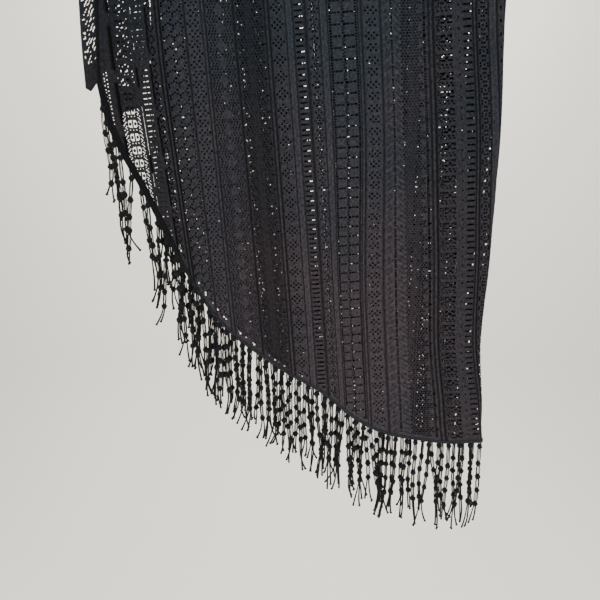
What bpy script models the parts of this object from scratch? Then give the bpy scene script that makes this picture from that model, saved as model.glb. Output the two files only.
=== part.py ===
"""Wrap sarong of black lace knit, folded once and hanging by its waistband.

The cloth is one piece: a front half, a fold on the wearer's side and a back half. The cloth, its bands
and its fringe are each made as two walls that meet in the middle of the fold, so that the space for the
wearer between them stays open. A place on the cloth is given by two sizes: along, the distance across
the cloth from the fold, less than nothing on the front half, and drop, the distance below the top of
the waistband. The origin is the middle of the waistband's top edge, between the two halves, where the
wearer's waist or hand holds it. Metres, Z up. The front half faces -Y.
"""
import bmesh
import bpy
import numpy as np
from collections import namedtuple
from math import pi

OBJECT_NAME = "sarong"

# Walls and widths
LACE_THICK = 0.0014
WAIST_THICK = 0.0024
HEM_THICK = 0.0022
TIE_THICK = 0.0016
FRINGE_THICK = 0.0052
WAIST_DEPTH = 0.030
HEM_WIDTH = 0.010
TIE_WIDTH = 0.040
FRINGE_DROP = 0.122
SEAM = 0.0003
FRINGE_SEAM = 0.0005

# The fold that joins the halves: its bend, the gap in its middle, and how its edge stands along the drop
FOLD_RADIUS = 0.0060
FOLD_EDGE_X = 0.2300
FOLD_SEAM = 0.0006
BEND_STEPS = 4
SWAY_REACH = 0.080
SwayRow = namedtuple("SwayRow", "drop out")
SWAY = (
    SwayRow(0.000, 0.0010),
    SwayRow(0.350, 0.0016),
    SwayRow(0.500, 0.0066),
    SwayRow(0.620, 0.0048),
    SwayRow(0.740, 0.0006),
    SwayRow(0.850, 0.0090),
    SwayRow(0.881, 0.0118),
)

# Hem curves, from the end of each straight edge to the fold, as places in the hanging cloth
HemRow = namedtuple("HemRow", "x drop")
FRONT_TOP_X = -0.212
FRONT_HEM = (
    HemRow(-0.233, 0.439),
    HemRow(-0.221, 0.494),
    HemRow(-0.185, 0.568),
    HemRow(-0.140, 0.657),
    HemRow(-0.098, 0.720),
    HemRow(-0.038, 0.774),
    HemRow(0.023, 0.809),
    HemRow(0.075, 0.849),
    HemRow(0.119, 0.871),
    HemRow(0.165, 0.881),
)
BACK_TOP_X = -0.152
BACK_HEM = (
    HemRow(-0.174, 0.412),
    HemRow(-0.171, 0.494),
    HemRow(-0.166, 0.564),
    HemRow(-0.149, 0.622),
    HemRow(-0.124, 0.671),
    HemRow(-0.090, 0.719),
    HemRow(-0.034, 0.771),
    HemRow(0.026, 0.806),
    HemRow(0.077, 0.846),
    HemRow(0.120, 0.868),
    HemRow(0.165, 0.880),
)
HEM_AT_FOLD = 0.881
STEPS_PER_ROW = 3
STEPS_STRAIGHT = 9

# Soft folds: their line from waist to hem, half their width, and their height towards the front
FoldRow = namedtuple("FoldRow", "x_waist x_hem half_width height")
SOFT_FOLDS = (
    FoldRow(-0.185, -0.190, 0.024, -0.0014),
    FoldRow(-0.125, -0.098, 0.032, 0.0022),
    FoldRow(-0.060, -0.038, 0.028, -0.0022),
    FoldRow(0.035, 0.078, 0.042, 0.0020),
    FoldRow(0.120, 0.152, 0.028, -0.0016),
)
FOLD_FULL_DROP = 0.62

# Ties: the middle of each at its sewn top and at its free end
TieRow = namedtuple("TieRow", "top_x end_x end_drop depth_at_top depth_below")
TIES = {
    "tie_front": TieRow(-0.212, -0.2285, 0.446, -0.0037, -0.0030),
    "tie_back": TieRow(-0.154, -0.1955, 0.468, 0.0037, 0.0030),
}
TIE_TOP = 0.002
TIE_SEWN = 0.034
TIE_STRAIGHT_FROM = 0.80
TIE_ROWS = 14

# The cut of each tie's end: how far it rises across the tie, from one edge to the other
CutRow = namedtuple("CutRow", "across rise")
TIE_CUTS = {
    "tie_front": (
        CutRow(-0.50, 0.004),
        CutRow(-0.33, 0.000),
        CutRow(0.00, 0.016),
        CutRow(0.50, 0.043),
    ),
    "tie_back": (
        CutRow(-0.50, 0.004),
        CutRow(-0.33, 0.000),
        CutRow(0.22, 0.007),
        CutRow(0.33, 0.050),
        CutRow(0.50, 0.060),
    ),
}

PANEL_ROWS = 15
FRINGE_ROWS = 5
WAIST_ROWS = 2
WAIST_STEPS = 13

# The two walls that each piece is made as, and the side of the fold that they lie on
HALVES = (("front", -1), ("back", 1))

BLACK_LACE = (0.030, 0.031, 0.036)
BLACK_RIB = (0.026, 0.027, 0.031)
BLACK_CORD = (0.022, 0.022, 0.025)

BEND_HALF = FOLD_RADIUS * pi / 2
AXIS_X = FOLD_EDGE_X - FOLD_RADIUS
# A short first step keeps the two walls' ends square to each other in the middle of the fold
BEND_BACK = np.append(FOLD_SEAM / 2, np.linspace(FOLD_SEAM, BEND_HALF, BEND_STEPS + 1))


def along_front(x):
    """Place across the cloth of a point of the front half."""
    return x - AXIS_X - BEND_HALF


def along_back(x):
    """Place across the cloth of a point of the back half."""
    return AXIS_X - x + BEND_HALF


def ease(t):
    """Nothing to one with a soft start and a soft end."""
    t = np.clip(t, 0.0, 1.0)
    return t * t * (3.0 - 2.0 * t)


def smooth_curve(points, lead_in, lead_out, steps):
    """Points on a smooth curve through the given points, a Catmull-Rom curve."""
    p = np.vstack(([lead_in], points, [lead_out]))
    t = np.linspace(0.0, 1.0, steps, endpoint=False)[:, None]
    spans = []
    for a, b, c, d in zip(p, p[1:], p[2:], p[3:]):
        bend = (2 * a - 5 * b + 4 * c - d) * t ** 2 + (3 * b - a - 3 * c + d) * t ** 3
        spans.append(0.5 * (2 * b + (c - a) * t + bend))
    spans.append(p[-2:-1])
    return np.vstack(spans)


def sway(drop):
    """How far the fold's edge stands out at a drop: eased from row to row."""
    drops = np.array([row.drop for row in SWAY])
    outs = np.array([row.out for row in SWAY])
    i = np.clip(np.searchsorted(drops, drop) - 1, 0, len(drops) - 2)
    t = ease((drop - drops[i]) / (drops[i + 1] - drops[i]))
    return outs[i] + (outs[i + 1] - outs[i]) * t


def fold_height(x, drop):
    """Height of the soft folds towards the front: a rounded ridge or trough along each line."""
    grown = ease(drop / FOLD_FULL_DROP)
    total = np.zeros(np.broadcast(x, drop).shape)
    for row in SOFT_FOLDS:
        line = row.x_waist + (row.x_hem - row.x_waist) * drop / HEM_AT_FOLD
        total = total + row.height * grown * np.exp(-((x - line) / row.half_width) ** 2)
    return total


def place(along, drop):
    """The middle of the wall at a place on the cloth: flat halves joined by a half-round bend."""
    turn = np.clip(along / FOLD_RADIUS, -pi / 2, pi / 2)
    flat = np.maximum(np.abs(along) - BEND_HALF, 0.0)
    x = AXIS_X + FOLD_RADIUS * np.cos(turn) - flat
    x = x + sway(drop) * np.exp(-(along / SWAY_REACH) ** 2)
    y = FOLD_RADIUS * np.sin(turn) - fold_height(x, drop)
    return np.stack((x, y, -drop), axis=-1)


def hem_half(rows, along, top_x):
    """One half's straight edge and hem curve, from its top to the fold, as along and drop."""
    curve = np.array([(along(row.x), row.drop) for row in rows])
    top = np.array((along(top_x), WAIST_DEPTH + SEAM))
    edge = top + (curve[0] - top) * np.linspace(0.0, 1.0, STEPS_STRAIGHT + 1)[:, None]
    at_fold = np.array((np.sign(curve[0, 0]) * BEND_HALF, HEM_AT_FOLD))
    points = np.vstack((curve, at_fold))
    curve = smooth_curve(points, edge[-2], 2 * at_fold - points[-2], STEPS_PER_ROW)
    return edge[:-1], curve


def whole_outline():
    """The free edge from the front's top, round the fold, to the back's top.

    Gives the outline and the slice of it that is curved, which carries the fringe.
    """
    front_edge, front_curve = hem_half(FRONT_HEM, along_front, FRONT_TOP_X)
    back_edge, back_curve = hem_half(BACK_HEM, along_back, BACK_TOP_X)
    bend = np.concatenate((-BEND_BACK[-2::-1], BEND_BACK[:-1]))
    bend = np.stack((bend, np.full_like(bend, HEM_AT_FOLD)), axis=-1)
    outline = np.vstack((front_edge, front_curve, bend, back_curve[::-1], back_edge[::-1]))
    curved = slice(len(front_edge), len(outline) - len(back_edge))
    return outline, curved


def moved_in(outline, distance):
    """The outline moved into the cloth, or out of it where the distance is less than nothing."""
    run = np.gradient(outline, axis=0)
    run = run / np.linalg.norm(run, axis=1)[:, None]
    inward = np.stack((run[:, 1], -run[:, 0]), axis=-1)
    moved = outline + inward * distance
    moved[[0, -1], 1] = outline[[0, -1], 1]
    return moved


def one_half(points, side):
    """The points that lie on one side of the fold."""
    return points[points[:, 0] * side > 0.0]


def make_material(name, color, roughness):
    """A matt knit finish."""
    material = bpy.data.materials.new(name)
    material.use_nodes = True
    shader = material.node_tree.nodes["Principled BSDF"]
    shader.inputs["Base Color"].default_value = (*color, 1.0)
    shader.inputs["Roughness"].default_value = roughness
    shader.inputs["Metallic"].default_value = 0.0
    return material


def make_wall(name, points, thick, material, collection):
    """A wall of cloth: a flat grid moved to its points, rows down and columns across, made solid."""
    rows, columns = points.shape[:2]
    mesh = bpy.data.meshes.new(name)
    bm = bmesh.new()
    bmesh.ops.create_grid(bm, x_segments=columns - 1, y_segments=rows - 1, size=1.0)
    for vert in bm.verts:
        column = round((vert.co.x + 1.0) / 2.0 * (columns - 1))
        row = round((vert.co.y + 1.0) / 2.0 * (rows - 1))
        vert.co = points[row, column]
    bm.to_mesh(mesh)
    bm.free()
    mesh.materials.append(material)
    wall = bpy.data.objects.new(name, mesh)
    collection.objects.link(wall)
    solid = wall.modifiers.new("Cloth thickness", "SOLIDIFY")
    solid.thickness = thick
    solid.offset = 0.0
    return wall


def make_lace(half, side, outline, curved, material, collection):
    """The lace inside its hem band: columns from the hem curve up to the waist seam."""
    inner = moved_in(outline, HEM_WIDTH + SEAM)
    end = abs(inner[0 if side < 0 else -1, 0])
    bottom = one_half(inner[curved], side)
    reach = np.abs(bottom[:, 0])
    share = np.maximum(reach - BEND_HALF, 0.0) / (reach.max() - BEND_HALF)
    top = np.full_like(bottom, WAIST_DEPTH + SEAM)
    top[:, 0] = side * (np.minimum(reach, BEND_HALF) + share * (end - BEND_HALF))
    up = np.linspace(0.0, 1.0, PANEL_ROWS + 1)[:, None, None]
    cloth = bottom + (top - bottom) * up
    points = place(cloth[..., 0], cloth[..., 1])
    return make_wall("lace_" + half, points, LACE_THICK, material, collection)


def make_hem_band(half, side, outline, material, collection):
    """The plain band along the free edge, from the top of the half's straight edge to the fold."""
    edges = (outline, moved_in(outline, HEM_WIDTH))
    cloth = np.stack([one_half(edge, side) for edge in edges])
    points = place(cloth[..., 0], cloth[..., 1])
    return make_wall("hem_band_" + half, points, HEM_THICK, material, collection)


def make_waistband(half, side, outline, material, collection):
    """The plain band along the top, from the end of the half to the fold."""
    end = abs(outline[0 if side < 0 else -1, 0])
    along = side * np.concatenate((BEND_BACK[:-1], np.linspace(BEND_HALF, end, WAIST_STEPS)))[None, :]
    drop = np.linspace(WAIST_DEPTH, 0.0, WAIST_ROWS + 1)[:, None]
    along, drop = np.broadcast_arrays(along, drop)
    return make_wall("waistband_" + half, place(along, drop), WAIST_THICK, material, collection)


def make_fringe(half, side, outline, curved, material, collection):
    """The reach of the knotted fringe: straight down from the half's curved hem."""
    top = one_half(moved_in(outline, -FRINGE_SEAM)[curved], side)
    down = np.linspace(0.0, FRINGE_DROP, FRINGE_ROWS + 1)[:, None]
    hem = place(top[:, 0], top[:, 1])
    points = np.repeat(hem[None], FRINGE_ROWS + 1, axis=0)
    points[..., 2] -= down
    return make_wall("fringe_" + half, points, FRINGE_THICK, material, collection)


def make_tie(name, row, material, collection):
    """A flat strip, sewn behind the waistband's end and hanging straight, with a cut end."""
    down = np.linspace(0.0, 1.0, TIE_ROWS + 1)[:, None]
    across = np.array([cut.across for cut in TIE_CUTS[name]])[None, :]
    rise = np.array([cut.rise for cut in TIE_CUTS[name]])[None, :]
    drop = TIE_TOP + (row.end_drop - rise - TIE_TOP) * down
    x = row.top_x + (row.end_x - row.top_x) * ease(down / TIE_STRAIGHT_FROM) + across * TIE_WIDTH
    loose = ease((drop - TIE_SEWN) / TIE_SEWN)
    depth = row.depth_at_top + (row.depth_below - row.depth_at_top) * loose
    y = depth - fold_height(x, drop)
    points = np.stack((x, y, -drop), axis=-1)
    return make_wall(name, points, TIE_THICK, material, collection)


def main():
    for old in list(bpy.data.objects):
        bpy.data.objects.remove(old, do_unlink=True)
    collection = bpy.data.collections.new(OBJECT_NAME)
    bpy.context.scene.collection.children.link(collection)
    outline, curved = whole_outline()
    lace = make_material("lace_knit", BLACK_LACE, 0.86)
    rib = make_material("rib_band", BLACK_RIB, 0.84)
    cord = make_material("fringe_cord", BLACK_CORD, 0.80)
    for half, side in HALVES:
        make_lace(half, side, outline, curved, lace, collection)
        make_waistband(half, side, outline, rib, collection)
        make_hem_band(half, side, outline, rib, collection)
        make_fringe(half, side, outline, curved, cord, collection)
    for name, row in TIES.items():
        make_tie(name, row, lace, collection)
    bpy.context.view_layer.update()


main()
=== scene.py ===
"""Black lace-knit wrap sarong, folded once and hanging by its waistband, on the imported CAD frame.

A place on the cloth is given by two sizes: along, the distance across the cloth from the fold, less
than nothing on the front half, and drop, the distance below the top of the waistband. Metres, Z up,
and the front half faces -Y.
"""
from collections import namedtuple
from math import pi, radians

import bpy
import numpy as np
from bpy.props import FloatProperty, FloatVectorProperty, IntProperty, PointerProperty
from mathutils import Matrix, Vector


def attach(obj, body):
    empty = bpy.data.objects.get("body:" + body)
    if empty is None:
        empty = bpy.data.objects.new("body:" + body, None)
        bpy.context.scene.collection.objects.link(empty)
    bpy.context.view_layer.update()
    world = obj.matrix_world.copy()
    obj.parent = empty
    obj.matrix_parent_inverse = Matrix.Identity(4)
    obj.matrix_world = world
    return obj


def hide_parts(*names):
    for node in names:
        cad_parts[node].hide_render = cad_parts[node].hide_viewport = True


bl_info = {
    "name": "Lace Sarong",
    "version": (1, 0, 0),
    "blender": (4, 5, 0),
    "location": "3D View > Sidebar > Sarong",
    "description": "Builds a hanging lace-knit wrap with knotted fringe, and its studio stage",
    "category": "Object",
}

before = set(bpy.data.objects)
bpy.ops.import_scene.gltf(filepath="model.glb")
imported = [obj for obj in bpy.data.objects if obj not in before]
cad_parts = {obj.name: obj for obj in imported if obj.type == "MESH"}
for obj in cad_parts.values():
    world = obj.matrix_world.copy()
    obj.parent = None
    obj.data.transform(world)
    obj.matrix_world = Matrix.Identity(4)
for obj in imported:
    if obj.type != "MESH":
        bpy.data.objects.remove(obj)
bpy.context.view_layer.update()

# The walls of the CAD model, repeated here
FOLD_RADIUS = 0.0060
FOLD_EDGE_X = 0.2300
AXIS_X = FOLD_EDGE_X - FOLD_RADIUS
BEND_HALF = FOLD_RADIUS * pi / 2
WAIST_DEPTH = 0.030
HEM_AT_FOLD = 0.881
SWAY_REACH = 0.080
SwayRow = namedtuple("SwayRow", "drop out")
SWAY = tuple(SwayRow(*row) for row in (
    (0.000, 0.0010), (0.350, 0.0016), (0.500, 0.0066), (0.620, 0.0048), (0.740, 0.0006),
    (0.850, 0.0090), (0.881, 0.0118),
))
HemRow = namedtuple("HemRow", "x drop")
FRONT_TOP_X = -0.212
FRONT_HEM = tuple(HemRow(*row) for row in (
    (-0.233, 0.439), (-0.221, 0.494), (-0.185, 0.568), (-0.140, 0.657), (-0.098, 0.720),
    (-0.038, 0.774), (0.023, 0.809), (0.075, 0.849), (0.119, 0.871), (0.165, 0.881),
))
BACK_TOP_X = -0.152
BACK_HEM = tuple(HemRow(*row) for row in (
    (-0.174, 0.412), (-0.171, 0.494), (-0.166, 0.564), (-0.149, 0.622), (-0.124, 0.671),
    (-0.090, 0.719), (-0.034, 0.771), (0.026, 0.806), (0.077, 0.846), (0.120, 0.868),
    (0.165, 0.880),
))

# Soft folds: their line from waist to hem, half their width, and their height towards the front
FoldRow = namedtuple("FoldRow", "x_waist x_hem half_width height")
SOFT_FOLDS = tuple(FoldRow(*row) for row in (
    (-0.185, -0.190, 0.024, -0.0034), (-0.125, -0.098, 0.032, 0.0054),
    (-0.060, -0.038, 0.026, -0.0062), (0.035, 0.078, 0.042, 0.0052),
    (0.120, 0.152, 0.028, -0.0040), (0.205, 0.200, 0.018, 0.0018),
))
FOLD_FULL_DROP = 0.62

# The lace's stitches: its stripes lean across the cloth, and its rows stand square to them. On the back
# half both lean the other way, so that they run on beside the front's, and its rows are a little taller.
# A pair is a soft step's start and reach.
LEAN_DROP = 0.427
LEAN_REACH = 0.06
LEAN = 0.070
LEAN_EDGE_LOW = 0.114
LEAN_EDGE_HIGH = 0.044
LEAN_EDGE_X = -0.105
LEAN_EDGE_REACH = 0.070
LEAN_TURN = 0.220
DRAWN = 0.0095
DRAWN_LEFT = (-0.225, 0.055)
DRAWN_RIGHT = (-0.150, 0.045)
DRAWN_DROP = (0.45, 0.26)
ROWS_LEAN = 0.070
ROWS_AT = 0.2334
ROWS_BEND = 0.02
ROWS_SHRINK = 0.092
ROWS_SHRINK_DROP = (0.38, 0.26)
BACK_STRETCH = 0.022
BACK_STRETCH_DROP = 0.593
BACK_STRETCH_REACH = 0.10

# Knit charts, row by row, repeated down the cloth: o is a hole, O a hole pulled wide, h a small hole, f a
# hole drawn shut, . a plain stitch, m a plain stitch under painted shade, = a plain stitch twice as wide, |
# a sunk groove, + a raised stitch and , a sunk stitch. A row given as - is all plain stitches.
CHARTS = {
    "rib": "=|=",
    "ribs": "=|+=|=",
    "wide_ribs": ".|+=.=+|=",
    "edge_rib": "+=|=",
    "fold_rib": "==|==|==",
    "plain": "==",
    "slit_long": "h " * 50 + "| " * 14,
    "slit_short": "h " * 9 + "| " * 30,
    "edge_mesh": ".h... ...h. .h... - ...h. .h... ...h. -",
    "rings": (
        "h....h..h..h....h ..h...........h.. .h.............h. h....hhh.hhh....h ..h.hhhh.hhhh.h.. "
        ".h..h..h.h..h..h. h...h..h.h..h...h ..h.hhhh.hhhh.h.. .h...hhh.hhh...h. ..h...........h.."),
    "double_ladder": "hhh.hh. - - -",
    "circles": "..oo... .o..o.. o...... o....o. .o..o.. ..oo... - -",
    "dotted_squares": (
        "....o.......o... ..o...o...o...o. o.......o....... - o.......o......o - ......o.......o. -"),
    "small_slants": "..o...o... - o...o...o. - ..o...o... - - ...o...o.. - .o...o...o - ...o...o.. - -",
    "zigzag_mesh": (
        "o..o..o..o....o..o..o..o - .o..o..o........o..o..o. - ..o..o............o..o.. - "
        ".o..o..o........o..o..o. - o..o..o..o....o..o..o..o - ..o..o..o..oo..o..o..o.. -"),
    "open_mesh": (
        "ommommommommommommommmmm mmmmmmmmmmmmmmmmmmmmmmmm mommommommommommommommmm "
        "mmmmmmmmmmmmmmmmmmmmmmmm mmommommommommommommmOOO mmmmmmmmmmmmmmmmmmmmmmmm "
        "ommommommommommommommmmm mmmmmmmmmmmmmmmmmmmmmmmm mommommommommommommommom "
        "mmmmmmmmmmmmmmmmmmmmmmmm mmommommommommommommommm mmmmmmmmmmmmmmmmmmmmmmmm"),
    "diamonds": "....o..... - ..o...o... - o...o...o. - ..o...o... - ....o..... - - -",
    "ladder": "OOOOO - - -",
    "small_knots": "..o.o.. - o..o..o - ..o.o.. - - ...o... - .o...o. - ...o... -",
    "big_squares": (
        "oo.oo.oo..oo.oo.oo.. ..........o........o o........o.......... ..........o........o "
        "o........o.......... ...................o o........oo......... ...................o"),
    "slants": (
        "...o...o... - .o...o...o. - ...o...o... - - - ....o...o.. - ..o...o.... - ....o...o.. - - - "
        "-"),
    "chevrons": (
        "....,.o.,.... ...,.+.+.,..+ ..,.+.o.+.,+. .,.+.....+.,. ..+...o...+., .+.........+. "
        "+.,...o...,.+ ..,.......,.. .,.........,."),
    "arrows": (
        "o.o.o.o.o.o..... ..............o. .o.o.o.o.o...... ..............o. o.o.o.o.o.o.o... "
        "..............o. .o.o.o.o.o.o..OO ..............o. o.o.o.o.o.o.o... ..............o. "
        ".o.o.o.o.o...... ..............o."),
    "fine_dots": "o.o. .o.. o.o. - ..o. .o.. o.o. - .o.. ..o. - - -",
    "crosses": "ooo..ooo o......o ...oo... ...oo... ooo..ooo - - o..o..o. - .o..o..o - - -",
    "rib_with_dots": "==.=o.= " + "==.=..= " * 7,
    "wide_ladder": ".OOOOOO - - - -",
    "hexagons": "..o.o.. - o.....o ...o... o.....o - ..o.o.. - -",
    "edge_dots": ".O. .O. - - - - - - -",
    "back_squares": ".o.....oo........... - - - ........o..........o - ...................o -",
    "back_dots": "O..OO. " + "- " * 15,
    "shut_hexagons": "..f.f.. - f.....f ...f... f.....f - ..f.f.. - -",
    "back_ladder": "...O... - - - -",
    "back_slots": "OOO... - - - - - - -",
    "tie": (
        "+....o........o..........+ +...oo...o...oo..o..oo...+ +..oo...oo..oo..oo.oo....+ "
        "+.oo...oo...o..oo..o..o..+ +.....oo..o...oo.....oo..+ +..o..o..oo..oo...o..o...+ "
        "+.oo....oo......ooo......+ +.o...o.o...oo..oo...oo..+ +....oo....oo..oo...oo...+ "
        "+...oo..o..o....o..oo..o.+ +...o..oo.....o.......oo.+ +.....oo..o..oo..o...oo..+ "
        "+.....o..oo.oo..oo...o...+"),
}

# The stripes across the cloth, in millimetres, from the front's straight edge to the back's
Stripe = namedtuple("Stripe", "chart width shift", defaults=(0,))
FRONT_STRIPES = (
    Stripe("edge_rib", 7.6), Stripe("edge_mesh", 7.6), Stripe("plain", 7.3),
    Stripe("slit_short", 0.9, 6), Stripe("rings", 20.4), Stripe("plain", 3.3),
    Stripe("slit_long", 0.9, 40), Stripe("plain", 3.0), Stripe("double_ladder", 10.6),
    Stripe("plain", 2.4), Stripe("slit_short", 0.9, 18), Stripe("circles", 8.9, 3),
    Stripe("ribs", 9.2), Stripe("dotted_squares", 24.2, 2), Stripe("rib", 4.6),
    Stripe("small_slants", 14.9), Stripe("ribs", 8.0), Stripe("zigzag_mesh", 26.5), Stripe("rib", 5.7),
    Stripe("open_mesh", 29.9), Stripe("ribs", 9.2), Stripe("diamonds", 14.9),
    Stripe("wide_ribs", 11.5), Stripe("ladder", 8.6), Stripe("rib", 6.9), Stripe("small_knots", 10.9),
)
MIDDLE_STRIPES = (
    Stripe("wide_ribs", 12.1), Stripe("big_squares", 29.9), Stripe("ribs", 8.1),
    Stripe("slants", 16.9), Stripe("rib", 4.8), Stripe("chevrons", 19.5), Stripe("arrows", 30.0),
    Stripe("ribs", 10.2), Stripe("fine_dots", 5.0), Stripe("crosses", 11.9),
    Stripe("rib_with_dots", 11.2), Stripe("wide_ladder", 10.1), Stripe("ribs", 8.0),
    Stripe("hexagons", 9.5), Stripe("wide_ribs", 13.5), Stripe("edge_dots", 4.1),
    Stripe("fold_rib", 9.0), Stripe("edge_dots", 4.1), Stripe("wide_ribs", 9.5),
    Stripe("shut_hexagons", 9.5, 3), Stripe("rib", 3.0),
)
BACK_STRIPES = (
    Stripe("rib", 5.4), Stripe("back_ladder", 14.0, 2), Stripe("ribs", 9.0), Stripe("crosses", 12.0),
    Stripe("ribs", 8.0), Stripe("back_squares", 30.0, 5), Stripe("ribs", 8.0),
    Stripe("slants", 17.0, 3), Stripe("wide_ribs", 12.0), Stripe("diamonds", 15.0), Stripe("rib", 6.0),
    Stripe("back_squares", 30.0), Stripe("ribs", 10.0), Stripe("back_dots", 8.0),
)
END_STRIPES = (
    Stripe("wide_ribs", 11.0), Stripe("back_slots", 8.0), Stripe("ribs", 10.0),
    Stripe("chevrons", 16.0), Stripe("wide_ribs", 12.0), Stripe("hexagons", 10.0),
    Stripe("wide_ribs", 14.0), Stripe("circles", 10.0), Stripe("rib", 5.0),
    Stripe("small_slants", 15.0), Stripe("ribs", 10.0), Stripe("chevrons", 16.0, 4),
    Stripe("ribs", 9.0), Stripe("circles", 9.8), Stripe("plain", 3.0), Stripe("double_ladder", 9.8),
    Stripe("plain", 3.2), Stripe("rings", 20.6, 4), Stripe("plain", 7.7), Stripe("edge_mesh", 7.0),
    Stripe("edge_rib", 16.0),
)
LACE_START = -0.4680
STITCH = 0.0015
SLOTS_SHUT_HIGH = 0.12
SLOTS_SHUT_MORE = 0.78
SLOTS_SHUT_ROW = (390, 80)

# How far the lace reaches under the waistband, and stays inside the outline beneath the hem band
WAIST_LAP = 0.008
HEM_LAP = 0.0014
SHEET_MARGIN = 0.02

# The lace's parts, side by side: the CAD nodes that each stands for, and the trims that move with it
LacePart = namedtuple("LacePart", "stripes nodes trims")
LACE_PARTS = {
    "lace_left": LacePart(FRONT_STRIPES, ("lace_front",), ("fringe_front_cords",)),
    "lace_at_fold": LacePart(
        MIDDLE_STRIPES, ("lace_front", "lace_back"), ("hem_binding", "waistband_knit")),
    "lace_behind": LacePart(BACK_STRIPES, ("lace_back",), ()),
    "lace_behind_left": LacePart(END_STRIPES, ("lace_back",), ("fringe_back_cords",)),
}

# Width of a stitch against a plain one, its height in millimetres, and the painted shade on its yarn:
# darker in grooves, sunk stitches, m stitches and holes drawn shut, and paler as a painted highlight on
# raised stitches and beside holes; the painted shade on the hem band high up and on the ties; and the
# painted shade at places across the cloth, in the soft folds' troughs and towards its edges
STITCH_WIDTH = {"=": 2.0, "|": 0.7}
STITCH_HEIGHT = {"=": 0.10, "|": -1.10, "+": 0.38, ",": -0.34, ".": 0.0, "o": 0.10, "O": 0.10}
STITCH_SHADE = {"m": 0.30, "o": -0.35, "O": 0.1, "f": 3.0, "|": 1.1, ",": 0.8, "+": -0.4}
HEM_NARROW_DROP = (0.58, 0.10)
HEM_SHADE_DROP = (0.60, 0.14)
HEM_STITCH = (0.0012, 0.0013)
WAIST_RIB = 0.0029
WAIST_RIB_HEIGHT = 0.00022
WAIST_SEAM = 0.0042
WAIST_SEAM_DEPTH = 0.00045
WAIST_STITCH = (0.00145, 0.0015)
SMALL_PULL = -0.13
TIE_PULL = -0.14
TIE_SHADE = 0.40
HEM_SHADE = 0.62
ShadeRow = namedtuple("ShadeRow", "across shade")
SHADES = tuple(ShadeRow(*row) for row in (
    (-0.480, 0.42), (-0.410, 0.38), (-0.372, 0.10), (-0.350, 0.00), (-0.315, 0.10), (-0.275, 0.13),
    (-0.235, 0.03), (-0.150, 0.00), (-0.115, 0.02), (-0.070, 0.19), (0.040, 0.19), (0.120, 0.00),
    (0.365, 0.00), (0.420, 0.30),
))

# Ties: the middle of each at its sewn top and at its free end
TieRow = namedtuple("TieRow", "top_x end_x end_drop depth_at_top depth_below width seed")
TIES = {
    "tie_front": TieRow(-0.212, -0.2285, 0.446, -0.0037, -0.0030, 0.040, 31),
    "tie_back": TieRow(-0.154, -0.1945, 0.468, 0.0037, 0.0030, 0.046, 47),
}
TIE_TOP = 0.002
TIE_SEWN = 0.034
TIE_STRAIGHT_FROM = 0.80
TIE_PLAIN_END = 0.026
TIE_CLOSED = 0.38
TIE_ROLL = 0.0012
CutRow = namedtuple("CutRow", "across rise")
TIE_CUTS = {
    "tie_front": (CutRow(-0.50, 0.004), CutRow(-0.33, 0.000), CutRow(0.00, 0.016), CutRow(0.50, 0.043)),
    "tie_back": (
        CutRow(-0.50, 0.004), CutRow(-0.33, 0.000), CutRow(0.19, 0.007), CutRow(0.30, 0.050),
        CutRow(0.50, 0.060)),
}

# Fringe: each half's side, seed and first strand; where strands leave the hem, and how many fewer there
# are where it is steep; a strand's knots, its places between them, and its cords' places beside it
FringeRow = namedtuple("FringeRow", "side seed first")
FRINGES = {"fringe_front": FringeRow(-1, 101, 0.5), "fringe_back": FringeRow(1, 202, 0.95)}
STRAND_INSET = 0.0022
STEEP_DROP = 0.72
HIGH_DROP = 0.70
STEEP_REACH = 0.12
FEWER_STEEP = 0.42
KNOTS = 5
FIRST_KNOT = 0.0060
KNOT_START = 0.0062
KNOT_STEP = 0.0192
PLACES = (2, 4, 4, 4, 4, 5)
CORDS = (-1.0, -0.36, 0.36, 1.0)
INNER_CORDS = 0.62
END_GROWTH = 0.9
CORD_TWIST = 0.0012
END_BAR = 0.0012
END_BAR_RADIUS = 0.0014

CAMERA_PLACE = (0.0, -0.556, -0.593)
CAMERA_TILT = 80.0
CAMERA_LENS = 26.94


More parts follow.
